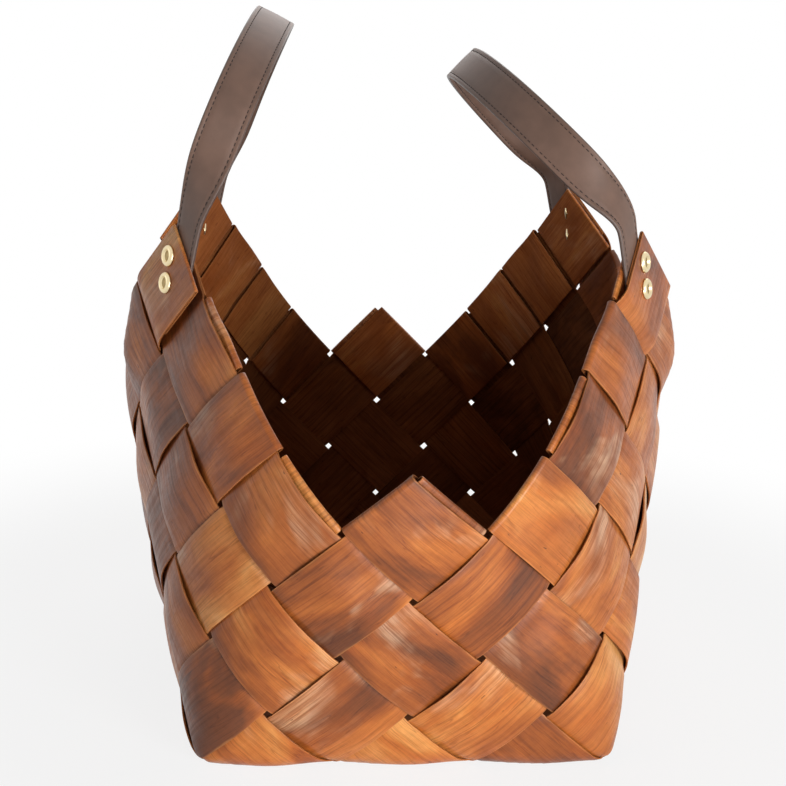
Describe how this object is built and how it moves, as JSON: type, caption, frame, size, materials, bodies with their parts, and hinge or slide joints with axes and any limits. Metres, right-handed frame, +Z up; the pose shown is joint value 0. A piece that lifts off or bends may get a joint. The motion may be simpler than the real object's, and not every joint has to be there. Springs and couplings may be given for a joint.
{
  "type": "woven_basket",
  "caption": "Tall open basket plaited diagonally from wide brown-stained wood strips, with four riveted peaks and two leather strap handles",
  "frame": {"origin": "middle of the underside, on the surface that the basket stands on", "axes": "+Z up, +Y along the long walls towards the far short wall, +X to the right as seen from the near short wall"},
  "size_m": [0.354, 0.4956, 0.4333],
  "materials": {
    "stained_wood": "brown stained veneer, satin",
    "strap_leather": "smooth, stitched along both edges",
    "rivet_brass": "polished, lightly worn"
  },
  "bodies": {
    "basket": {"left_leaning_strip_1": "stained_wood", "left_leaning_strip_2": "stained_wood", "left_leaning_strip_3": "stained_wood", "left_leaning_strip_4": "stained_wood", "left_leaning_strip_5": "stained_wood", "left_leaning_strip_6": "stained_wood", "left_leaning_strip_7": "stained_wood", "left_leaning_strip_8": "stained_wood", "right_leaning_strip_1": "stained_wood", "right_leaning_strip_2": "stained_wood", "right_leaning_strip_3": "stained_wood", "right_leaning_strip_4": "stained_wood", "right_leaning_strip_5": "stained_wood", "right_leaning_strip_6": "stained_wood", "right_leaning_strip_7": "stained_wood", "right_leaning_strip_8": "stained_wood", "near_left_strap_end": "strap_leather", "near_right_strap_end": "strap_leather", "far_left_strap_end": "strap_leather", "far_right_strap_end": "strap_leather", "near_left_rivets": "rivet_brass", "near_right_rivets": "rivet_brass", "far_left_rivets": "rivet_brass", "far_right_rivets": "rivet_brass"},
    "left_handle": {"left_handle_strap": "strap_leather"},
    "right_handle": {"right_handle_strap": "strap_leather"}
  },
  "joints": [
    {"name": "left_handle_swing", "type": "hinge", "parent": "basket", "child": "left_handle", "pos_m": [-0.12532, 0, 0.3182], "axis": [0, 1, 0], "range_deg": [-60, 35]},
    {"name": "right_handle_swing", "type": "hinge", "parent": "basket", "child": "right_handle", "pos_m": [0.12532, 0, 0.3182], "axis": [0, -1, 0], "range_deg": [-80, 20]}
  ]
}
